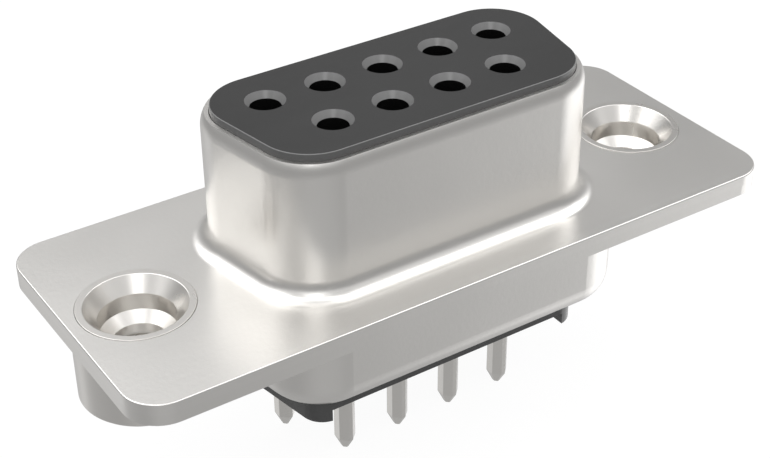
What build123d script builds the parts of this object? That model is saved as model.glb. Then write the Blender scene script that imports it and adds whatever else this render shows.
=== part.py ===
from build123d import *
import math
import os

# Nine-way board-mounting socket connector with a D-shaped metal hood.
# Millimetres. The origin is the centre of the flange's front face, midway between the two screw holes.
# +Z is the mating direction, X runs along the flange and the row of four contacts lies on the -Y side.

# Flange, made of two sheets pressed together
flange_length = 30.81
flange_width = 12.5
flange_corner_r = 1.6
flange_edge = 0.08
front_sheet = 0.475
rear_sheet = 0.475

# Places and widths along the flange, as shares of its length. Widths of D outlines are taken half-way up.
screw_spacing = flange_length * 0.8111
hood_width = flange_length * 0.5193
cup_width = flange_length * 0.5875
rear_face_width = flange_length * 0.482
contact_pitch = flange_length * 0.0899

# Slope of the short sides of every D outline
side_slant = 10.0

# Hood drawn from the front sheet
hood_depth = 7.9
hood_corner_r = 2.59
hood_wall = 0.38
hood_height = 5.95
hood_base_r = 0.75
hood_rim_r = 0.82
hood_rim_turn = 40.0
hood_back_r = 1.1

# Cup drawn from the rear sheet
cup_depth = 10.72
cup_corner_r = 2.6
cup_wall = 0.475
cup_drop = 3.7
cup_bottom_r = 1.2
cup_root_r = 0.35

# Contact layout
row_spacing = 2.84
wide_row_count = 5
narrow_row_count = 4

# Front insulator
insulator_gap = 0.03
face_height = 6.256
face_edge = 0.1
base_thickness = 1.4
base_root = 0.5
entry_r = 0.67
entry_chamfer = 0.207
entry_length = 1.05

# Rear insulator
rear_face_depth = 8.86
rear_face_corner_r = 1.0
rear_face_shift = -0.44
rear_face_drop = 0.465
foot_length = 0.71
foot_drop = 0.55

# Contacts
barrel_r = 0.84
barrel_gap = 0.1
bore_r = 0.51
bore_depth = 5.3
barrel_recess = 0.1
slot_width = 0.26
slot_depth = 4.0
collar_r = 1.05
collar_gap = 0.05
collar_height = 0.7
tail_x = 0.81
tail_y = 1.05
tail_chamfer = 0.31
tail_shift = 0.15
tail_gap = 0.06
tail_below_feet = 4.535
tip_length = 0.6
tip_share = 0.36

# Threaded inserts that clinch the two sheets together
insert_body_r = 2.66
insert_body_length = 3.12
insert_neck_r = 1.95
insert_neck_gap = 0.02
flare_r = 2.38
flare_depth = 0.43
flare_rise = 0.03
flare_mouth_r = 2.085
flare_cone_depth = 0.6
counterbore_r = 1.57
counterbore_depth = 1.335
thread_r = 1.12
thread_cone_depth = 0.4
insert_end_chamfer = 0.15

# Heights that follow from the sizes above
flange_back = -(front_sheet + rear_sheet)
cup_bottom = flange_back - cup_drop
cup_floor = cup_bottom + cup_wall
base_bottom = -front_sheet - base_thickness
collar_top = base_bottom + collar_height
rear_face = cup_bottom - rear_face_drop
feet_bottom = rear_face - foot_drop
tail_end = feet_bottom - tail_below_feet
barrel_top = face_height - entry_chamfer - entry_length - barrel_recess
insert_end = flange_back - insert_body_length


def d_outline(width, depth, corner_r, inset=0.0, shift=0.0):
    """D-shaped face, wide along +Y, with the width taken half-way up; inset moves every side inwards."""
    slope = math.radians(side_slant)
    half_w = width / 2 - inset / math.cos(slope)
    half_d = depth / 2 - inset
    lean = half_d * math.tan(slope)
    corners = [
        (-half_w + lean, -half_d),
        (half_w - lean, -half_d),
        (half_w + lean, half_d),
        (-half_w - lean, half_d),
    ]
    face = Polygon(*corners, align=None)
    face = fillet(face.vertices(), corner_r - inset)
    return Pos(shift, 0, 0) * face


def prism(face, low, high):
    """Face drawn up from one height to another."""
    return extrude(Pos(0, 0, low) * face, high - low)


def hood_outline(inset=0.0):
    return d_outline(hood_width, hood_depth, hood_corner_r, inset)


def cup_outline(inset=0.0):
    return d_outline(cup_width, cup_depth, cup_corner_r, inset)


def rear_face_outline(inset=0.0):
    return d_outline(rear_face_width, rear_face_depth, rear_face_corner_r, inset, rear_face_shift)


def flange_outline():
    return RectangleRounded(flange_length, flange_width, flange_corner_r)


def edges_at(solid, height, outline):
    """Edges that lie flat at a height and inside the box of an outline."""
    limit = outline.bounding_box()
    reach = 1e-3
    found = []
    for edge in solid.edges():
        box = edge.bounding_box()
        flat = abs(box.min.Z - height) < reach and abs(box.max.Z - height) < reach
        inside_x = box.min.X > limit.min.X - reach and box.max.X < limit.max.X + reach
        inside_y = box.min.Y > limit.min.Y - reach and box.max.Y < limit.max.Y + reach
        if flat and inside_x and inside_y:
            found.append(edge)
    return found


def contact_places():
    """Centres of the contacts: the wide row first, each row from -X to +X."""
    places = []
    for count, y in ((wide_row_count, row_spacing / 2), (narrow_row_count, -row_spacing / 2)):
        for i in range(count):
            places.append(((i - (count - 1) / 2) * contact_pitch, y))
    return places


def screw_places():
    return [(-screw_spacing / 2, 0), (screw_spacing / 2, 0)]


def front_shell():
    """Front sheet: flange with the hood drawn out of it. The wall turns a little inwards up to the cut rim."""
    outer = prism(flange_outline(), -front_sheet, 0)
    outer = chamfer(edges_at(outer, 0, flange_outline()), flange_edge)
    full_height = hood_height + hood_rim_r * (1 - math.sin(math.radians(hood_rim_turn)))
    outer = outer + prism(hood_outline(), -front_sheet, full_height)
    outer = fillet(edges_at(outer, 0, hood_outline()), hood_base_r)
    outer = fillet(edges_at(outer, full_height, hood_outline()), hood_rim_r)
    outer = outer - prism(flange_outline(), hood_height, 2 * hood_height)
    shell = outer - prism(hood_outline(hood_wall), -2 * front_sheet, 2 * hood_height)
    shell = fillet(edges_at(shell, -front_sheet, hood_outline(hood_wall)), hood_back_r)
    hole_r = insert_neck_r + insert_neck_gap
    for x, y in screw_places():
        shell = shell - Pos(x, y, -front_sheet / 2) * Cylinder(hole_r, 2 * front_sheet)
        seat = Cone(hole_r, flare_r + insert_neck_gap, flare_depth, align=(Align.CENTER, Align.CENTER, Align.MAX))
        shell = shell - Pos(x, y, 0) * seat
    return shell


def rear_shell():
    """Rear sheet: flange with a cup drawn down from it, and a window in the cup's rounded bottom."""
    outer = prism(flange_outline(), flange_back, -front_sheet)
    outer = outer + prism(cup_outline(), cup_bottom, -front_sheet)
    outer = fillet(edges_at(outer, flange_back, cup_outline()), cup_root_r)
    outer = fillet(edges_at(outer, cup_bottom, cup_outline()), cup_bottom_r)
    room = prism(cup_outline(cup_wall), cup_floor, -front_sheet)
    room = fillet(edges_at(room, cup_floor, cup_outline(cup_wall)), cup_bottom_r - cup_wall)
    shell = outer - room
    shell = fillet(edges_at(shell, -front_sheet, cup_outline(cup_wall)), cup_root_r + rear_sheet / 2)
    shell = shell - prism(rear_face_outline(-insulator_gap), 2 * cup_bottom, cup_floor + cup_wall)
    hole_r = insert_neck_r + insert_neck_gap
    for x, y in screw_places():
        shell = shell - Pos(x, y, (flange_back - front_sheet) / 2) * Cylinder(hole_r, 2 * rear_sheet)
    return shell


def front_insulator():
    """Moulding that fills the hood, with a base held under the front sheet and nine stepped cavities."""
    plug = hood_outline(hood_wall + insulator_gap)
    body = prism(plug, -front_sheet, face_height)
    body = chamfer(edges_at(body, face_height, plug), face_edge)
    body = body + prism(cup_outline(cup_wall + insulator_gap), base_bottom, -front_sheet)
    body = chamfer(edges_at(body, -front_sheet, plug), base_root)
    ledge = face_height - entry_chamfer - entry_length
    for x, y in contact_places():
        cavity = (
            Pos(0, 0, face_height - entry_chamfer)
            * Cone(entry_r, entry_r + entry_chamfer, entry_chamfer, align=(Align.CENTER, Align.CENTER, Align.MIN))
            + prism(Circle(entry_r), ledge, face_height - entry_chamfer)
            + prism(Circle(barrel_r + barrel_gap), collar_top, ledge)
            + prism(Circle(collar_r + collar_gap), base_bottom, collar_top)
        )
        body = body - Pos(x, y, 0) * cavity
    return body


def rear_insulator():
    """Moulding in the cup: it backs the contact collars and stands on the board on a foot along each end."""
    block = cup_outline(cup_wall + insulator_gap)
    body = prism(block, cup_floor + insulator_gap, base_bottom)
    seat_r = cup_bottom_r - cup_wall - insulator_gap
    body = fillet(edges_at(body, cup_floor + insulator_gap, block), seat_r)
    body = body + prism(rear_face_outline(), rear_face, cup_floor + cup_wall)
    half_front = rear_face_width / 2 - rear_face_depth / 2 * math.tan(math.radians(side_slant))
    between_feet = Pos(rear_face_shift, 0, 0) * Rectangle(2 * (half_front - foot_length), 2 * rear_face_depth)
    feet = rear_face_outline() - between_feet
    body = body + prism(feet, feet_bottom, rear_face)
    for x, y in contact_places():
        body = body - Pos(x, y, 0) * prism(tail_outline(room=tail_gap), 2 * rear_face, base_bottom)
    return body


def tail_outline(share=1.0, room=0.0):
    """Tail with bevelled corners, beside the axis of its barrel; smaller by a share or larger by some room."""
    face = Rectangle(tail_x * share + 2 * room, tail_y * share + 2 * room)
    return Pos(tail_shift, 0, 0) * chamfer(face.vertices(), tail_chamfer * share)


def contact():
    """Socket contact in one piece: slotted barrel, collar and bevelled tail, standing on its axis."""
    body = prism(Circle(barrel_r), collar_top, barrel_top)
    body = body + prism(Circle(collar_r), base_bottom, collar_top)
    body = body + prism(tail_outline(), tail_end + tip_length, base_bottom)
    tip = loft([Pos(0, 0, tail_end + tip_length) * tail_outline(), Pos(0, 0, tail_end) * tail_outline(tip_share)])
    body = body + tip
    body = body - prism(Circle(bore_r), barrel_top - bore_depth, barrel_top)
    slot = prism(Rectangle(4 * barrel_r, slot_width), barrel_top - slot_depth, 2 * barrel_top)
    return body - slot


def threaded_insert():
    """Turned bush: its body bears on the back of the flange and its neck is flared over into the front."""
    profile = Polyline(
        (thread_r, insert_end + insert_end_chamfer),
        (thread_r + insert_end_chamfer, insert_end),
        (insert_body_r - insert_end_chamfer, insert_end),
        (insert_body_r, insert_end + insert_end_chamfer),
        (insert_body_r, flange_back),
        (insert_neck_r, flange_back),
        (insert_neck_r, -flare_depth),
        (flare_r, 0),
        (flare_r, flare_rise),
        (flare_mouth_r, flare_rise),
        (counterbore_r, -flare_cone_depth),
        (counterbore_r, -counterbore_depth),
        (thread_r, -counterbore_depth - thread_cone_depth),
        close=True,
    )
    face = Plane.XZ * make_face(profile)
    return revolve(face, Axis.Z)


def parts():
    made = {
        "front_shell": front_shell(),
        "rear_shell": rear_shell(),
        "front_insulator": front_insulator(),
        "rear_insulator": rear_insulator(),
    }
    one_contact = contact()
    for number, (x, y) in enumerate(contact_places(), start=1):
        made[f"contact_{number}"] = Pos(x, y, 0) * one_contact
    one_insert = threaded_insert()
    for side, (x, y) in zip(("left", "right"), screw_places()):
        made[f"insert_{side}"] = Pos(x, y, 0) * one_insert
    return made


def main():
    os.makedirs("parts", exist_ok=True)
    for node, solid in parts().items():
        export_step(solid, f"parts/{node}.step")


main()
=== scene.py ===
import math

import bpy
from mathutils import Matrix, Vector
from mathutils.geometry import tessellate_polygon


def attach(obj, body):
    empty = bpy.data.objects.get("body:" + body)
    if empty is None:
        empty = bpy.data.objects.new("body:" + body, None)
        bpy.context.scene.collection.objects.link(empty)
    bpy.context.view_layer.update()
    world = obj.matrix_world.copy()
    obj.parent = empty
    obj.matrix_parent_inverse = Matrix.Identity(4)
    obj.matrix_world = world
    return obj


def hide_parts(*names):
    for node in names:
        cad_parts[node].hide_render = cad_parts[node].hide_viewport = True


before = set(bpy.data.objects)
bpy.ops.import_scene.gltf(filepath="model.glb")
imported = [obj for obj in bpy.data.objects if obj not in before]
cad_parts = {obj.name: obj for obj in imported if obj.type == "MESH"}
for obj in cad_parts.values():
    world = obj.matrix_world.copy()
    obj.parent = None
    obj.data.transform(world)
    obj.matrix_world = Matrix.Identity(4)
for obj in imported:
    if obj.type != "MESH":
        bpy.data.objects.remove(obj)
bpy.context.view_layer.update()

# Nine-way board-mounting socket connector with a D-shaped metal hood.
# The object's sizes are in millimetres, and MM turns them into metres.
MM = 0.001

# Camera of the photograph
VIEW_AZIMUTH = -33.265
VIEW_ELEVATION = 33.022
VIEW_ROLL = -0.481
VIEW_DISTANCE = 66.423
VIEW_TARGET = (-1.504, -0.966, 0.0)
VIEW_LENS = 74.53
VIEW_SENSOR = 36.0
VIEW_REACH = (1, 10000)

# Table under the tails: how much of its white is its own glow, how much takes the shadow, and how much light
# it throws back at the object
FLOOR_Z = -10.2
TABLE_HALF = 600.0
TABLE_GLOW = 0.93
TABLE_SHADE = 0.09
TABLE_BOUNCE = 0.75

# Room that the metal mirrors. CEILING_STOPS has the level of the walls and ceiling by the sine of the height,
# and TABLE_STOPS that of the table by the angle round the object, in degrees from +Y towards +X. LAMP_REACH
# says, by the same angle, how much lower the bright part of the wall starts: the lamps stand to the left and
# right. ZENITH_LEVEL is the level straight overhead and UNDER_LEVEL that straight below. The fades are ranges
# of the sine of the height.
LEVEL_SCALE = 2.8
CEILING_STOPS = (
    (0.0, 0.36),
    (0.3, 0.37),
    (0.47, 0.44),
    (0.56, 0.62),
    (0.63, 0.72),
    (0.7, 0.95),
    (0.8, 1.5),
    (0.94, 2.7),
)
LAMP_REACH = (
    (-180, 0.04),
    (-150, 0.1),
    (-103, 0.13),
    (-53, 0.2),
    (-13, 0.42),
    (4, 0.34),
    (13, 0.04),
    (21, -0.1),
    (28, -0.02),
    (35, 0.08),
    (44, -0.38),
    (58, -0.38),
    (67, 0.45),
    (95, 0.45),
    (120, 0.12),
    (140, 0.03),
    (180, 0.04),
)
REACH_FADE = (0.4, 0.56)
ZENITH_LEVEL = 0.75
ZENITH_FADE = (0.945, 0.98)
TABLE_STOPS = (
    (-180, 0.48),
    (-150, 0.49),
    (-105, 0.4),
    (-60, 0.45),
    (-45, 0.52),
    (-30, 0.74),
    (-10, 0.6),
    (20, 0.48),
    (54, 0.5),
    (76, 1.5),
    (120, 1.5),
    (130, 0.8),
    (140, 0.5),
    (152, 0.4),
    (180, 0.48),
)
UNDER_LEVEL = 0.46
UNDER_FADE = (-0.9, -0.7)
HORIZON_FADE = (-0.35, -0.1)

# Even wall behind the camera, by the cosine of the angle from its middle and by the sine of the height
FRONT_WALL_TURN = -160.0
FRONT_WALL_SIDES = (0.25, 0.5)
FRONT_WALL_FOOT = (0.4, 0.5)
FRONT_WALL_TOP = (0.85, 0.94)
FRONT_WALL_SLOPE = (0.5, 0.7)
FRONT_WALL_LOW = 0.95
FRONT_WALL_HIGH = 0.62

# Key lamp above and behind the camera, as the metal mirrors it
KEY_TURN = -147.0
KEY_RISE = 46.0
KEY_HALF_WIDTH = 6.0
KEY_SOFT_WIDTH = 15.0
KEY_LEVEL = 2.4

# Light on the matt pieces: the room's, and two lamps (place, side, radiance) that the metal doesn't mirror
FILL_LEVEL = 0.95
OVERHEAD_BOX = ((0, 0, 150), 300, 0.5)
FRONT_BOX = ((-80, -125, 110), 110, 1.6)

# Finish of the materials: scales of their noises, depths of their grain and pitch of the tool rings in metres,
# and what the clouded parts keep of the plating's colour
CLOUD_SCALE = 160.0
GRAIN_SCALE = 5200.0
STREAK_SCALES = (260.0, 5200.0, 1400.0)
STREAK_SHARE = 0.6
SHEET_GRAIN = 0.0000035
SHEET_CLOUDED = 0.95
BUSH_GRAIN = 0.0000008
BUSH_CLOUDED = 0.94
TOOL_PITCH = 0.00006
FLOW_SCALES = (350.0, 900.0, 900.0)
FLOW_SHARE = 0.6
FLOW_RANGE = (0.3, 0.7)
FLECK_SCALE = 6000.0
MOTTLE = 0.14
MOULDING_GLOSS = (0.2, 0.26)
MOULDING_GRAIN = 0.000003


# Shader helpers
def new_group(name, inputs, outputs):
    """A shader group with named inputs, (name, kind, value), and outputs, (name, kind)."""
    group = bpy.data.node_groups.new(name, "ShaderNodeTree")
    for label, kind, value in inputs:
        socket = group.interface.new_socket(label, in_out="INPUT", socket_type=kind)
        socket.default_value = value
    for label, kind in outputs:
        group.interface.new_socket(label, in_out="OUTPUT", socket_type=kind)
    return group, group.nodes.new("NodeGroupInput"), group.nodes.new("NodeGroupOutput")


def feed(tree, socket, value):
    """Sets an input, or links another node's output to it."""
    if isinstance(value, bpy.types.NodeSocket):
        tree.links.new(value, socket)
    else:
        socket.default_value = value


def add(tree, kind, inputs=(), **settings):
    """A node with its settings; inputs pairs a socket's name or number with a value or an output."""
    node = tree.nodes.new(kind)
    for name, value in settings.items():
        setattr(node, name, value)
    for key, value in dict(inputs).items():
        feed(tree, node.inputs[key], value)
    return node


def reckon(tree, operation, a, b=0.0, c=0.0):
    """Output of one Math node."""
    return add(tree, "ShaderNodeMath", {0: a, 1: b, 2: c}, operation=operation).outputs[0]


def spread(tree, value, low, high, to_low, to_high, smooth=False):
    """Value mapped from one range to another and held inside it."""
    inputs = {"Value": value, "From Min": low, "From Max": high, "To Min": to_low, "To Max": to_high}
    kind = "SMOOTHSTEP" if smooth else "LINEAR"
    return add(tree, "ShaderNodeMapRange", inputs, interpolation_type=kind).outputs["Result"]


def place(tree):
    """Object coordinates, in metres, in the frame of the whole part."""
    return add(tree, "ShaderNodeTexCoord").outputs["Object"]


def noise(tree, vector, scale, detail=2.0, roughness=0.5):
    inputs = {"Vector": vector, "Scale": scale, "Detail": detail, "Roughness": roughness}
    return add(tree, "ShaderNodeTexNoise", inputs).outputs["Fac"]


# Shared effects
def satin_group():
    """Plated sheet: fine matt grain, faint rolling streaks along the sheet and slow changes of gloss."""
    inputs = [
        ("Roughness", "NodeSocketFloat", 0.3),
        ("Gloss Change", "NodeSocketFloat", 0.05),
        ("Grain Depth", "NodeSocketFloat", 1.0),
    ]
    outputs = [("Roughness", "NodeSocketFloat"), ("Height", "NodeSocketFloat"), ("Cloud", "NodeSocketFloat")]
    group, given, out = new_group("satin_plate", inputs, outputs)
    at = place(group)
    cloud = noise(group, at, CLOUD_SCALE, 3.0)
    grain = noise(group, at, GRAIN_SCALE, 2.0)
    streak_at = add(group, "ShaderNodeMapping", {"Vector": at, "Scale": STREAK_SCALES}).outputs["Vector"]
    streak = noise(group, streak_at, 1.0, 2.0)
    off_mid = reckon(group, "SUBTRACT", cloud, 0.5)
    shift = reckon(group, "MULTIPLY", off_mid, given.outputs["Gloss Change"])
    feed(group, out.inputs["Roughness"], reckon(group, "ADD", given.outputs["Roughness"], shift))
    mixed = reckon(group, "MULTIPLY_ADD", streak, STREAK_SHARE, grain)
    feed(group, out.inputs["Height"], reckon(group, "MULTIPLY", mixed, given.outputs["Grain Depth"]))
    feed(group, out.inputs["Cloud"], cloud)
    return group


def turned_group():
    """Turned metal: fine rings round an upright axis at a place along X."""
    inputs = [("Axis X", "NodeSocketFloat", 0.0), ("Pitch", "NodeSocketFloat", 0.00005)]
    group, given, out = new_group("turning_rings", inputs, [("Height", "NodeSocketFloat")])
    split = add(group, "ShaderNodeSeparateXYZ", {0: place(group)})
    across = reckon(group, "SUBTRACT", split.outputs["X"], given.outputs["Axis X"])
    across_squared = reckon(group, "MULTIPLY", across, across)
    squares = reckon(group, "MULTIPLY_ADD", split.outputs["Y"], split.outputs["Y"], across_squared)
    radius = reckon(group, "SQRT", squares)
    travel = reckon(group, "ADD", radius, split.outputs["Z"])
    turns = reckon(group, "DIVIDE", travel, given.outputs["Pitch"])
    wave = reckon(group, "SINE", reckon(group, "MULTIPLY", turns, 2 * math.pi))
    feed(group, out.inputs["Height"], wave)
    return group


def moulded_group():
    """Glass-filled moulding: a faint flow mottle in its colour and a fine matt skin."""
    inputs = [("Colour", "NodeSocketColor", (0.07, 0.07, 0.07, 1)), ("Mottle", "NodeSocketFloat", 0.12)]
    outputs = [("Colour", "NodeSocketColor"), ("Height", "NodeSocketFloat"), ("Roughness", "NodeSocketFloat")]
    group, given, out = new_group("moulded_plastic", inputs, outputs)
    at = place(group)
    flow_at = add(group, "ShaderNodeMapping", {"Vector": at, "Scale": FLOW_SCALES}).outputs["Vector"]
    flow = noise(group, flow_at, 1.0, 4.0, 0.6)
    fleck = noise(group, at, FLECK_SCALE, 2.0)
    share = reckon(group, "MULTIPLY_ADD", flow, FLOW_SHARE, reckon(group, "MULTIPLY", fleck, 1 - FLOW_SHARE))
    change = reckon(group, "MULTIPLY", reckon(group, "SUBTRACT", share, 0.5), given.outputs["Mottle"])
    gain = reckon(group, "MULTIPLY_ADD", change, 2.0, 1.0)
    tint = add(group, "ShaderNodeVectorMath", {0: given.outputs["Colour"]}, operation="SCALE")
    feed(group, tint.inputs["Scale"], gain)
    feed(group, out.inputs["Colour"], tint.outputs[0])
    feed(group, out.inputs["Height"], fleck)
    feed(group, out.inputs["Roughness"], spread(group, flow, *FLOW_RANGE, *MOULDING_GLOSS))
    return group


# Materials
def new_material(name):
    material = bpy.data.materials.new(name)
    material.use_nodes = True
    tree = material.node_tree
    shader = tree.nodes["Principled BSDF"]
    return material, tree, shader


def place_group(tree, group, inputs=()):
    node = add(tree, "ShaderNodeGroup", node_tree=group)
    for key, value in dict(inputs).items():
        feed(tree, node.inputs[key], value)
    return node


def bump(tree, shader, height, distance):
    node = add(tree, "ShaderNodeBump", {"Height": height, "Distance": distance, "Strength": 1.0})
    feed(tree, shader.inputs["Normal"], node.outputs["Normal"])


def plating(tree, shader, colour, clouded, roughness, gloss_change, depth):
    """Bare plating, a little darker where it has clouded; returns its fine height."""
    shader.inputs["Metallic"].default_value = 1.0
    finish = {"Roughness": roughness, "Gloss Change": gloss_change, "Grain Depth": depth}
    satin = place_group(tree, SATIN, finish)
    tone = add(tree, "ShaderNodeMix", {"Factor": satin.outputs["Cloud"]}, data_type="RGBA")
    feed(tree, tone.inputs[6], (*(clouded * c for c in colour), 1))
    feed(tree, tone.inputs[7], (*colour, 1))
    feed(tree, shader.inputs["Base Color"], tone.outputs[2])
    feed(tree, shader.inputs["Roughness"], satin.outputs["Roughness"])
    return satin.outputs["Height"]


def plated_sheet(name, colour, roughness):
    """Plated sheet metal."""
    material, tree, shader = new_material(name)
    height = plating(tree, shader, colour, SHEET_CLOUDED, roughness, gloss_change=0.08, depth=1.0)
    bump(tree, shader, height, SHEET_GRAIN)
    return material


def turned_metal(name, colour, axis_x, roughness):
    """Plated turned bush with fine tool rings."""
    material, tree, shader = new_material(name)
    height = plating(tree, shader, colour, BUSH_CLOUDED, roughness, gloss_change=0.06, depth=0.3)
    rings = place_group(tree, TURNED, {"Axis X": axis_x, "Pitch": TOOL_PITCH})
    bump(tree, shader, reckon(tree, "MULTIPLY_ADD", rings.outputs["Height"], 0.5, height), BUSH_GRAIN)
    return material


def moulding(name, grey):
    """Dark glass-filled moulding."""
    material, tree, shader = new_material(name)
    skin = place_group(tree, MOULDED, {"Colour": (grey, grey, grey, 1), "Mottle": MOTTLE})
    shader.inputs["Specular IOR Level"].default_value = 0.5
    feed(tree, shader.inputs["Base Color"], skin.outputs["Colour"])
    feed(tree, shader.inputs["Roughness"], skin.outputs["Roughness"])
    bump(tree, shader, skin.outputs["Height"], MOULDING_GRAIN)
    return material


BUSH_X = 12.495
SATIN = satin_group()
TURNED = turned_group()
MOULDED = moulded_group()
MATERIALS = {
    "shell_front": plated_sheet("tin_plated_front", (0.82, 0.805, 0.78), 0.31),
    "shell_rear": plated_sheet("tin_plated_rear", (0.81, 0.795, 0.77), 0.31),
    "insulator_front": moulding("dark_moulding_front", 0.024),
    # Mouth chamfers and the face's rounded edge: a lighter grey painted as their highlight
    "painted_highlight": moulding("moulding_painted_highlight", 0.17),
    # Side wall above the hood: a lighter grey painted as the light falling on it
    "painted_light_sides": moulding("moulding_painted_light_sides", 0.07),
    # Cavities: a near-black painted as the shade inside them
    "depths": moulding("moulding_painted_shade_depths", 0.004),
    "insulator_rear": moulding("dark_moulding_rear", 0.04),
    "contact": plated_sheet("tinned_contact", (0.82, 0.8, 0.77), 0.2),
    "insert_left": turned_metal("nickel_bush_left", (0.82, 0.8, 0.77), -BUSH_X * MM, 0.28),
    "insert_right": turned_metal("nickel_bush_right", (0.82, 0.8, 0.77), BUSH_X * MM, 0.28),
}


# Outlines and profiles, millimetres. An outline runs anticlockwise seen from +Z. A profile is a list of runs
# of ((outwards, up), (outwards, up)) places and normals, each run smooth in itself, with the metal on its left.
SIDE_SLANT = 10.0
CORNER_STEPS = 20
ROUND_STEPS = 72
SAME_PLACE = 1e-4
FLAT_AREA = 1e-9


def d_outline(width, depth, corner_r, inset=0.0):
    """Corner arcs (x, y, radius, first angle, last angle) of a D, wide along +Y, its width taken half-way."""
    slant = SIDE_SLANT
    slope = math.radians(slant)
    arcs = []
    corners = ((1, -1, -90, -slant), (1, 1, -slant, 90), (-1, 1, 90, 180 + slant), (-1, -1, 180 + slant, 270))
    for sx, sy, first, last in corners:
        y = sy * (depth / 2 - corner_r)
        x = sx * (width / 2 + sy * (depth / 2 - corner_r) * math.tan(slope) - corner_r / math.cos(slope))
        arcs.append((x, y, corner_r - inset, first, last))
    return arcs


def rectangle_outline(width, depth, corner_r):
    x, y, r = width / 2 - corner_r, depth / 2 - corner_r, corner_r
    return [(x, -y, r, -90, 0), (x, y, r, 0, 90), (-x, y, r, 90, 180), (-x, -y, r, 180, 270)]


def rounds_of(outline):
    """Samples round an outline as (base point, outward direction)."""
    samples = []
    for x, y, r, first, last in outline:
        for k in range(CORNER_STEPS + 1):
            angle = math.radians(first + (last - first) * k / CORNER_STEPS)
            out = (math.cos(angle), math.sin(angle))
            samples.append(((x + r * out[0], y + r * out[1]), out))
    return samples


def circle(x, y, steps=ROUND_STEPS):
    """Samples round a point; a profile's outward places are then radii."""
    turns = [2 * math.pi * j / steps for j in range(steps)]
    return [((x, y), (math.cos(turn), math.sin(turn))) for turn in turns]


def arc_run(centre, radius, first, last, inwards=False, steps=8):
    """Run round an arc of a profile, with normals away from its centre, or towards it for a hollow."""
    run = []
    sense = -1.0 if inwards else 1.0
    for k in range(steps + 1):
        angle = math.radians(first + (last - first) * k / steps)
        way = (math.cos(angle), math.sin(angle))
        spot = (centre[0] + radius * way[0], centre[1] + radius * way[1])
        run.append((spot, (sense * way[0], sense * way[1])))
    return run


def straight_run(start, end):
    size = math.hypot(end[0] - start[0], end[1] - start[1])
    normal = ((end[1] - start[1]) / size, (start[0] - end[0]) / size)
    return [(start, normal), (end, normal)]


def rounded_runs(corners, steps=4, closed=True):
    """Runs along a profile of (outwards, up, radius) corners; an open one has no arc at its ends."""
    count = len(corners)
    turned = []
    for i, (r, z, radius) in enumerate(corners):
        here = Vector((r, z))
        if not closed and i in (0, count - 1):
            turned.append((here, here, []))
            continue
        come = (here - Vector(corners[i - 1][:2])).normalized()
        go = (Vector(corners[(i + 1) % count][:2]) - here).normalized()
        turn = math.atan2(come.x * go.y - come.y * go.x, come.dot(go))
        back = radius * math.tan(abs(turn) / 2)
        face_in, face_out = Vector((come.y, -come.x)), Vector((go.y, -go.x))
        start, end = here - come * back, here + go * back
        side = math.copysign(radius, turn)
        centre = start - face_in * side
        arc = []
        for k in range(steps + 1 if radius > 0 else 0):
            way = (face_in * (steps - k) + face_out * k).normalized()
            arc.append((tuple(centre + way * side), tuple(way)))
        turned.append((start, end, arc))
    runs = []
    for i, (start, end, arc) in enumerate(turned):
        if arc:
            runs.append(arc)
        if closed or i < count - 1:
            runs.append(straight_run(tuple(end), tuple(turned[(i + 1) % count][0])))
    return runs


class Skin:
    """Faces of one piece, with the exact normal at each of their corners."""

    def __init__(self):
        self.numbers = {}
        self.places = []
        self.faces = []
        self.normals = []
        self.slots = []
        self.slot = 0

    def number(self, place):
        key = tuple(round(v, 4) for v in place)
        if key not in self.numbers:
            self.numbers[key] = len(self.places)
            self.places.append(place)
        return self.numbers[key]

    def face(self, places, normals):
        """Adds a face, leaving out corners that fall together."""
        numbers = [self.number(place) for place in places]
        kept = [i for i in range(len(numbers)) if numbers[i] != numbers[i - 1]]
        if len(kept) > 2:
            self.faces.append([numbers[i] for i in kept])
            self.slots.append(self.slot)
            self.normals += [normals[i] for i in kept]

    def rings(self, low, high):
        """Faces between two rings of (place, normal)."""
        for j in range(len(low)):
            after = (j + 1) % len(low)
            corners = (low[j], low[after], high[after], high[j])
            self.face([c[0] for c in corners], [c[1] for c in corners])

    def sweep(self, samples, runs):
        """Faces of a profile carried round an outline."""
        for run in runs:
            swept = []
            for (grow, z), (out, up) in run:
                ring = []
                for (x, y), (dx, dy) in samples:
                    ring.append(((x + grow * dx, y + grow * dy, z), (out * dx, out * dy, up)))
                swept.append(ring)
            for low, high in zip(swept, swept[1:]):
                self.rings(low, high)

    def cap(self, z, up, outer, holes=()):
        """Flat face at a height inside an outer loop and outside the holes, each loop a list of (x, y)."""
        loops = (outer, *holes)
        spots = [spot for loop in loops for spot in loop]
        for triple in tessellate_polygon([[Vector((x, y, 0)) for x, y in loop] for loop in loops]):
            a, b, c = (spots[i] for i in triple)
            turn = (b[0] - a[0]) * (c[1] - a[1]) - (b[1] - a[1]) * (c[0] - a[0])
            if abs(turn) < FLAT_AREA:
                continue
            order = (a, b, c) if (turn > 0) == (up > 0) else (a, c, b)
            self.face([(x, y, z) for x, y in order], [(0, 0, up)] * 3)

    def piece(self, name, *materials):
        mesh = bpy.data.meshes.new(name)
        mesh.from_pydata([tuple(v * MM for v in place) for place in self.places], [], self.faces)
        mesh.shade_smooth()
        mesh.normals_split_custom_set([tuple(Vector(n).normalized()) for n in self.normals])
        for material in materials:
            mesh.materials.append(material)
        mesh.polygons.foreach_set("material_index", self.slots)
        made = bpy.data.objects.new(name, mesh)
        bpy.context.scene.collection.objects.link(made)
        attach(made, "root")
        return made


def loop_of(samples, grow=0.0):
    """Loop of (x, y) at an amount outside the samples of an outline."""
    loop = []
    for (x, y), (dx, dy) in samples:
        spot = (x + grow * dx, y + grow * dy)
        if not loop or math.dist(spot, loop[-1]) > SAME_PLACE:
            loop.append(spot)
    return loop


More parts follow.
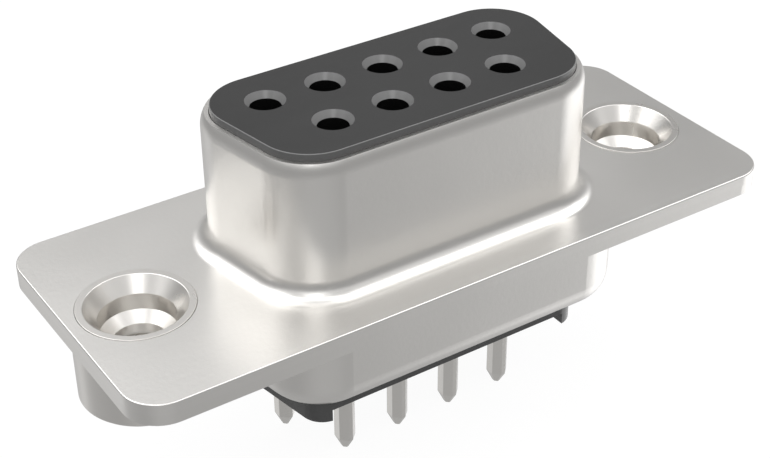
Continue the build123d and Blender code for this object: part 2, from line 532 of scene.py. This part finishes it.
# Front sheet and its hood
FLANGE = (30.81, 12.5, 1.6)
FLANGE_EDGE_R = 0.06
SHEET = 0.475
HOOD = (15.9996, 7.9, 2.59)
HOOD_WALL = 0.38
HOOD_HEIGHT = 5.95
HOOD_BASE_R = 0.75
HOOD_RIM_R = 1.15
HOOD_RIM_TURN = 33.0
RIM_EDGE_R = 0.02
SEAT_R = 2.4
NECK_HOLE_R = 1.97
SEAT_DEPTH = 0.43


def front_sheet():
    """Flange with the drawn hood: concave root, upright wall that turns in at the top, and a cut rim."""
    skin = Skin()
    flange = rounds_of(rectangle_outline(*FLANGE))
    hood = rounds_of(d_outline(*HOOD))
    edge = FLANGE_EDGE_R
    skin.sweep(flange, [straight_run((0, -SHEET), (0, -edge)), arc_run((-edge, -edge), edge, 0, 90, steps=5)])
    turn_foot = HOOD_HEIGHT - HOOD_RIM_R * math.sin(math.radians(HOOD_RIM_TURN))
    rim = arc_run((-HOOD_RIM_R, turn_foot), HOOD_RIM_R, 0, HOOD_RIM_TURN, steps=10)
    runs = [
        arc_run((HOOD_BASE_R, HOOD_BASE_R), HOOD_BASE_R, 270, 180, inwards=True, steps=16),
        straight_run((0, HOOD_BASE_R), (0, turn_foot)),
        rim,
        straight_run(rim[-1][0], (RIM_EDGE_R - HOOD_WALL, HOOD_HEIGHT)),
        arc_run((RIM_EDGE_R - HOOD_WALL, HOOD_HEIGHT - RIM_EDGE_R), RIM_EDGE_R, 90, 180, steps=3),
        straight_run((-HOOD_WALL, HOOD_HEIGHT - RIM_EDGE_R), (-HOOD_WALL, -SHEET)),
    ]
    skin.sweep(hood, runs)
    holes = [circle(side * BUSH_X, 0) for side in (-1, 1)]
    seat_foot = (NECK_HOLE_R, -SEAT_DEPTH)
    seat = [straight_run((SEAT_R, 0), seat_foot), straight_run(seat_foot, (NECK_HOLE_R, -SHEET))]
    for hole in holes:
        skin.sweep(hole, seat)
    front_openings = [loop_of(hood, HOOD_BASE_R)] + [loop_of(hole, SEAT_R) for hole in holes]
    back_openings = [loop_of(hood, -HOOD_WALL)] + [loop_of(hole, NECK_HOLE_R) for hole in holes]
    skin.cap(0, 1, loop_of(flange, -edge), front_openings)
    skin.cap(-SHEET, -1, loop_of(flange), back_openings)
    piece = skin.piece("front_sheet", MATERIALS["shell_front"])
    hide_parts("front_shell")


# Front moulding with its nine stepped cavities
PITCH = 2.769819
ROW_SPACING = 2.84
PLUG_INSET = 0.41
PLUG_SWELL = 0.025
DRAFT_FOOT = 5.9
CUP = (18.100875, 10.72, 2.6)
CUP_INSET = 0.505
FACE_Z = 6.256
FACE_EDGE_R = 0.028
ENTRY_MOUTH_R = 0.845
ENTRY_R = 0.645
ENTRY_CHAMFER = 0.28
ENTRY_EDGE_R = 0.02
ENTRY_RING = 0.05
LEDGE_Z = 4.999
BARREL_HOLE_R = 0.94
COLLAR_HOLE_R = 1.1
COLLAR_TOP = -1.175
BASE_Z = -1.875
BASE_ROOT = 0.5

# Slots of the moulding's materials: its own colour, a lighter grey painted as highlight, a near-black painted
# as shade in the cavities and a lighter grey painted as light on the side wall
FACE, PAINTED_HIGHLIGHT, PAINTED_SHADE_DEPTHS, PAINTED_LIGHT_SIDES = range(4)


def socket_places():
    """Centres of the nine sockets: five in the wide row, four in the narrow one."""
    places = [((i - 2) * PITCH, ROW_SPACING / 2) for i in range(5)]
    return places + [((i - 1.5) * PITCH, -ROW_SPACING / 2) for i in range(4)]


def front_moulding():
    """Moulding that fills the hood, its edges just broken, with a chamfered mouth at each cavity."""
    skin = Skin()
    plug = rounds_of(d_outline(*HOOD, inset=PLUG_INSET))
    base = rounds_of(d_outline(*CUP, inset=CUP_INSET))
    edge = FACE_EDGE_R
    foot, bend = (PLUG_SWELL, -SHEET + BASE_ROOT), (PLUG_SWELL, DRAFT_FOOT)
    skin.sweep(plug, [straight_run((BASE_ROOT, -SHEET), foot), straight_run(foot, bend)])
    # The side wall above the hood takes the painted light
    skin.slot = PAINTED_LIGHT_SIDES
    skin.sweep(plug, [straight_run(bend, (0, FACE_Z - edge))])
    # The face's rounded edge takes the painted highlight
    skin.slot = PAINTED_HIGHLIGHT
    skin.sweep(plug, [arc_run((-edge, FACE_Z - edge), edge, 0, 90, steps=4)])
    skin.slot = FACE
    skin.sweep(base, [straight_run((0, BASE_Z), (0, -SHEET))])
    skin.cap(-SHEET, 1, loop_of(base), [loop_of(plug, BASE_ROOT)])
    holes = [circle(x, y) for x, y in socket_places()]
    mouth = [
        (ENTRY_MOUTH_R + ENTRY_RING, FACE_Z, 0.0),
        (ENTRY_MOUTH_R, FACE_Z, ENTRY_EDGE_R),
        (ENTRY_R, FACE_Z - ENTRY_CHAMFER, 0.0),
    ]
    depths = [
        (ENTRY_R, FACE_Z - ENTRY_CHAMFER, 0.0),
        (ENTRY_R, LEDGE_Z, 0.0),
        (BARREL_HOLE_R, LEDGE_Z, 0.0),
        (BARREL_HOLE_R, COLLAR_TOP, 0.0),
        (COLLAR_HOLE_R, COLLAR_TOP, 0.0),
        (COLLAR_HOLE_R, BASE_Z, 0.0),
    ]
    for hole in holes:
        ring, edge_arc, chamfer = rounded_runs(mouth, steps=3, closed=False)
        skin.slot = FACE
        skin.sweep(hole, [ring, edge_arc])
        # The mouth chamfer takes the painted highlight
        skin.slot = PAINTED_HIGHLIGHT
        skin.sweep(hole, [chamfer])
        # The cavities take the painted shade
        skin.slot = PAINTED_SHADE_DEPTHS
        skin.sweep(hole, rounded_runs(depths, steps=3, closed=False))
    skin.slot = FACE
    skin.cap(FACE_Z, 1, loop_of(plug, -edge), [loop_of(hole, ENTRY_MOUTH_R + ENTRY_RING) for hole in holes])
    skin.cap(BASE_Z, -1, loop_of(base), [loop_of(hole, COLLAR_HOLE_R) for hole in holes])
    names = ("insulator_front", "painted_highlight", "depths", "painted_light_sides")
    piece = skin.piece("front_moulding", *(MATERIALS[name] for name in names))
    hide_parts("front_insulator")


# Turned bushes
BUSH_STEPS = 112
BUSH_END = -4.07
BUSH_BODY_R = 2.66
FLANGE_BACK = -0.95
NECK_R = 1.95
FLARE_R = 2.38
FLARE_FOOT = -0.43
FLARE_TOP = 0.03
MOUTH_R = 2.085
MOUTH_FOOT = -0.6
COUNTERBORE_R = 1.57
COUNTERBORE_FOOT = -1.335
THREAD_R = 1.12
THREAD_TOP = -1.735
THREAD_DEPTH = 0.28
THREAD_PITCH = 0.635
THREAD_ROWS = 58
THREAD_CREST = 0.14
THREAD_FLANK = 0.7
RUN_IN_START = 0.35
RUN_IN = 0.5
RUN_OUT = 0.12
END_CHAMFER = 0.15
END_INNER_EDGE_R = 0.02
END_OUTER_EDGE_R = 0.05
SHOULDER_EDGE_R = 0.04
FLARE_EDGE_R = 0.022
MOUTH_EDGE_R = 0.05
MOUTH_FOOT_R = 0.04
COUNTERBORE_EDGE_R = 0.03


def thread_radius(angle, z):
    """Radius of the threaded wall: V-shaped grooves cut outwards, running out at both ends of the bore."""
    phase = (z / THREAD_PITCH - angle / (2 * math.pi)) % 1.0
    groove = min(1.0, max(0.0, (abs(2 * phase - 1) - THREAD_CREST) / THREAD_FLANK))
    run_in = min(1.0, max(0.0, (THREAD_TOP - RUN_IN_START - z) / RUN_IN))
    run_out = min(1.0, max(0.0, (z - BUSH_END - END_CHAMFER) / RUN_OUT))
    return THREAD_R + THREAD_DEPTH * groove * run_in * run_out


def threaded_wall(skin, centre_x):
    """Threaded bore from its cone down to its end chamfer."""
    low = BUSH_END + END_CHAMFER
    reach = 0.001
    rings = []
    for k in range(THREAD_ROWS + 1):
        z = THREAD_TOP + (low - THREAD_TOP) * k / THREAD_ROWS
        ring = []
        for j in range(BUSH_STEPS):
            angle = 2 * math.pi * j / BUSH_STEPS
            c, s = math.cos(angle), math.sin(angle)
            r = thread_radius(angle, z)
            by_z = (thread_radius(angle, z + reach) - thread_radius(angle, z - reach)) / (2 * reach)
            by_angle = (thread_radius(angle + reach, z) - thread_radius(angle - reach, z)) / (2 * reach)
            normal = (-r * c - by_angle * s, -r * s + by_angle * c, r * by_z)
            ring.append(((centre_x + r * c, r * s, z), normal))
        rings.append(ring)
    for upper, lower in zip(rings, rings[1:]):
        skin.rings(upper, lower)


def threaded_bush(side, centre_x):
    """Bush with a threaded bore, its neck flared over into the flange."""
    skin = Skin()
    corners = [
        (THREAD_R, BUSH_END + END_CHAMFER, 0.0),
        (THREAD_R + END_CHAMFER, BUSH_END, END_INNER_EDGE_R),
        (BUSH_BODY_R - END_CHAMFER, BUSH_END, END_OUTER_EDGE_R),
        (BUSH_BODY_R, BUSH_END + END_CHAMFER, END_OUTER_EDGE_R),
        (BUSH_BODY_R, FLANGE_BACK, SHOULDER_EDGE_R),
        (NECK_R, FLANGE_BACK, 0.0),
        (NECK_R, FLARE_FOOT, 0.0),
        (FLARE_R, 0.0, 0.0),
        (FLARE_R, FLARE_TOP, FLARE_EDGE_R),
        (MOUTH_R, FLARE_TOP, MOUTH_EDGE_R),
        (COUNTERBORE_R, MOUTH_FOOT, MOUTH_FOOT_R),
        (COUNTERBORE_R, COUNTERBORE_FOOT, COUNTERBORE_EDGE_R),
        (THREAD_R, THREAD_TOP, 0.0),
    ]
    skin.sweep(circle(centre_x, 0, BUSH_STEPS), rounded_runs(corners, closed=False))
    threaded_wall(skin, centre_x)
    piece = skin.piece(f"bush_{side}", MATERIALS[f"insert_{side}"])
    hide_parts(f"insert_{side}")


front_sheet()
front_moulding()
threaded_bush("left", -BUSH_X)
threaded_bush("right", BUSH_X)


# Carried-over nodes
NODE_MATERIALS = {
    "front_shell": "shell_front",
    "rear_shell": "shell_rear",
    "front_insulator": "insulator_front",
    "rear_insulator": "insulator_rear",
    "insert_left": "insert_left",
    "insert_right": "insert_right",
}

for node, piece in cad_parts.items():
    piece.data.materials.clear()
    piece.data.materials.append(MATERIALS[NODE_MATERIALS.get(node, "contact")])


# Stage, light and camera
def floor():
    """Pale table with the object's soft shadow, clear from below and where the metal mirrors the room."""
    half = TABLE_HALF * MM
    mesh = bpy.data.meshes.new("table")
    corners = [(-half, -half), (half, -half), (half, half), (-half, half)]
    mesh.from_pydata([(x, y, FLOOR_Z * MM) for x, y in corners], [], [(0, 1, 2, 3)])
    table = bpy.data.objects.new("table", mesh)
    bpy.context.scene.collection.objects.link(table)
    material = bpy.data.materials.new("pale_table")
    material.use_nodes = True
    tree = material.node_tree
    tree.nodes.clear()
    path = add(tree, "ShaderNodeLightPath")
    seen = reckon(tree, "MAXIMUM", path.outputs["Is Camera Ray"], path.outputs["Is Transmission Ray"])
    plain = add(tree, "ShaderNodeBsdfDiffuse", {"Color": (TABLE_BOUNCE, TABLE_BOUNCE, TABLE_BOUNCE, 1)})
    soft = add(tree, "ShaderNodeBsdfDiffuse", {"Color": (TABLE_SHADE, TABLE_SHADE, TABLE_SHADE, 1)})
    glow = add(tree, "ShaderNodeEmission", {"Strength": TABLE_GLOW})
    shown = add(tree, "ShaderNodeAddShader", {0: soft.outputs[0], 1: glow.outputs[0]})
    clear = add(tree, "ShaderNodeBsdfTransparent")
    first = add(tree, "ShaderNodeMixShader", {0: seen, 1: plain.outputs[0], 2: shown.outputs[0]})
    mirrored = path.outputs["Is Glossy Ray"]
    both = add(tree, "ShaderNodeMixShader", {0: mirrored, 1: first.outputs[0], 2: clear.outputs[0]})
    below = add(tree, "ShaderNodeNewGeometry").outputs["Backfacing"]
    sided = add(tree, "ShaderNodeMixShader", {0: below, 1: both.outputs[0], 2: clear.outputs[0]})
    out = add(tree, "ShaderNodeOutputMaterial")
    tree.links.new(sided.outputs[0], out.inputs["Surface"])
    mesh.materials.append(material)


def stepped(tree, value, stops, scale):
    """Level along stops of (place from 0 to 1, level), each level divided by the scale to fit a ramp."""
    ramp = add(tree, "ShaderNodeValToRGB", {"Fac": value})
    band = ramp.color_ramp
    band.interpolation = "EASE"
    while len(band.elements) > 1:
        band.elements.remove(band.elements[-1])
    for i, (spot, level) in enumerate(stops):
        stop = band.elements[0] if i == 0 else band.elements.new(spot)
        stop.position = spot
        stop.color = (level / scale, level / scale, level / scale, 1)
    split = add(tree, "ShaderNodeSeparateColor", {0: ramp.outputs["Color"]})
    return reckon(tree, "MULTIPLY", split.outputs[0], scale)


def blend(tree, share, first, second):
    """Value that goes from the first to the second with the share."""
    return add(tree, "ShaderNodeMix", {0: share, 2: first, 3: second}, data_type="FLOAT").outputs[0]


def rising(tree, value, fade):
    """Share that rises smoothly from 0 to 1 over a range."""
    return spread(tree, value, *fade, 0.0, 1.0, smooth=True)


def falling(tree, value, fade):
    """Share that falls smoothly from 1 to 0 over a range."""
    return spread(tree, value, *fade, 1.0, 0.0, smooth=True)


def ceiling_level(tree, way, turn, rise, round_share):
    """Level of the walls and ceiling, with the side lamps, the even wall behind the camera and the key lamp."""
    lifts = [((angle + 180) / 360, lift + 0.5) for angle, lift in LAMP_REACH]
    reach = reckon(tree, "SUBTRACT", stepped(tree, round_share, lifts, 1.0), 0.5)
    height = reckon(tree, "MULTIPLY_ADD", reach, rising(tree, rise, REACH_FADE), rise)
    level = stepped(tree, reckon(tree, "MAXIMUM", height, 0.0), CEILING_STOPS, LEVEL_SCALE)
    level = blend(tree, rising(tree, rise, ZENITH_FADE), level, ZENITH_LEVEL)
    off_wall = reckon(tree, "COSINE", reckon(tree, "SUBTRACT", turn, math.radians(FRONT_WALL_TURN)))
    ahead = rising(tree, off_wall, FRONT_WALL_SIDES)
    above_foot = rising(tree, rise, FRONT_WALL_FOOT)
    below_top = falling(tree, rise, FRONT_WALL_TOP)
    on_wall = reckon(tree, "MULTIPLY", ahead, reckon(tree, "MULTIPLY", above_foot, below_top))
    wall_level = spread(tree, rise, *FRONT_WALL_SLOPE, FRONT_WALL_LOW, FRONT_WALL_HIGH)
    level = blend(tree, on_wall, level, wall_level)
    aim_turn, aim_rise = math.radians(KEY_TURN), math.radians(KEY_RISE)
    flat = math.cos(aim_rise)
    aim = (math.sin(aim_turn) * flat, math.cos(aim_turn) * flat, math.sin(aim_rise))
    near = add(tree, "ShaderNodeVectorMath", {0: way, 1: aim}, operation="DOT_PRODUCT").outputs["Value"]
    rim = [math.cos(math.radians(angle)) for angle in (KEY_SOFT_WIDTH, KEY_HALF_WIDTH)]
    return blend(tree, rising(tree, near, rim), level, KEY_LEVEL)


def room():
    """White behind everything. The metal mirrors a dim horizon, a bright ceiling and a partly bright table."""
    world = bpy.data.worlds.new("studio")
    bpy.context.scene.world = world
    world.use_nodes = True
    tree = world.node_tree
    tree.nodes.clear()
    path = add(tree, "ShaderNodeLightPath")
    seen = reckon(tree, "MAXIMUM", path.outputs["Is Camera Ray"], path.outputs["Is Transmission Ray"])
    way = add(tree, "ShaderNodeTexCoord").outputs["Generated"]
    split = add(tree, "ShaderNodeSeparateXYZ", {0: way})
    rise = split.outputs["Z"]
    turn = reckon(tree, "ARCTAN2", split.outputs["X"], split.outputs["Y"])
    round_share = reckon(tree, "MULTIPLY_ADD", turn, 0.5 / math.pi, 0.5)
    ceiling = ceiling_level(tree, way, turn, rise, round_share)
    table_stops = [((angle + 180) / 360, level) for angle, level in TABLE_STOPS]
    table = stepped(tree, round_share, table_stops, LEVEL_SCALE)
    table = blend(tree, falling(tree, rise, UNDER_FADE), table, UNDER_LEVEL)
    mirrored = blend(tree, rising(tree, rise, HORIZON_FADE), table, ceiling)
    light = blend(tree, path.outputs["Is Glossy Ray"], FILL_LEVEL, mirrored)
    strength = blend(tree, seen, light, 1.0)
    back = add(tree, "ShaderNodeBackground", {"Color": (1, 1, 1, 1), "Strength": strength})
    out = add(tree, "ShaderNodeOutputWorld")
    tree.links.new(back.outputs[0], out.inputs["Surface"])


def softbox(name, at, side, radiance):
    """Square lamp aimed at the object, of an even brightness; the metal doesn't mirror it."""
    lamp = bpy.data.lights.new(name, "AREA")
    lamp.shape = "SQUARE"
    lamp.size = side * MM
    lamp.energy = radiance * math.pi * (side * MM) ** 2
    holder = bpy.data.objects.new(name, lamp)
    bpy.context.scene.collection.objects.link(holder)
    holder.location = Vector(at) * MM
    holder.rotation_euler = (-Vector(at)).to_track_quat("-Z", "Y").to_euler()
    holder.visible_glossy = False


def camera():
    """Camera at the photograph's angle."""
    azimuth, elevation, roll = (math.radians(v) for v in (VIEW_AZIMUTH, VIEW_ELEVATION, VIEW_ROLL))
    flat = math.cos(elevation)
    back = Vector((math.sin(azimuth) * flat, -math.cos(azimuth) * flat, math.sin(elevation)))
    level = Vector((0, 0, 1)).cross(back).normalized()
    upright = back.cross(level)
    right = math.cos(roll) * level + math.sin(roll) * upright
    up = math.cos(roll) * upright - math.sin(roll) * level
    spot = (Vector(VIEW_TARGET) + VIEW_DISTANCE * back) * MM
    lens = bpy.data.cameras.new("photo_view")
    lens.lens = VIEW_LENS
    lens.sensor_width = VIEW_SENSOR
    lens.sensor_fit = "HORIZONTAL"
    lens.clip_start, lens.clip_end = (reach * MM for reach in VIEW_REACH)
    holder = bpy.data.objects.new("photo_view", lens)
    bpy.context.scene.collection.objects.link(holder)
    holder.matrix_world = Matrix((
        (right.x, up.x, back.x, spot.x),
        (right.y, up.y, back.y, spot.y),
        (right.z, up.z, back.z, spot.z),
        (0, 0, 0, 1),
    ))
    bpy.context.scene.camera = holder


floor()
room()
softbox("overhead_box", *OVERHEAD_BOX)
softbox("front_box", *FRONT_BOX)
camera()
bpy.context.scene.view_settings.view_transform = "Standard"
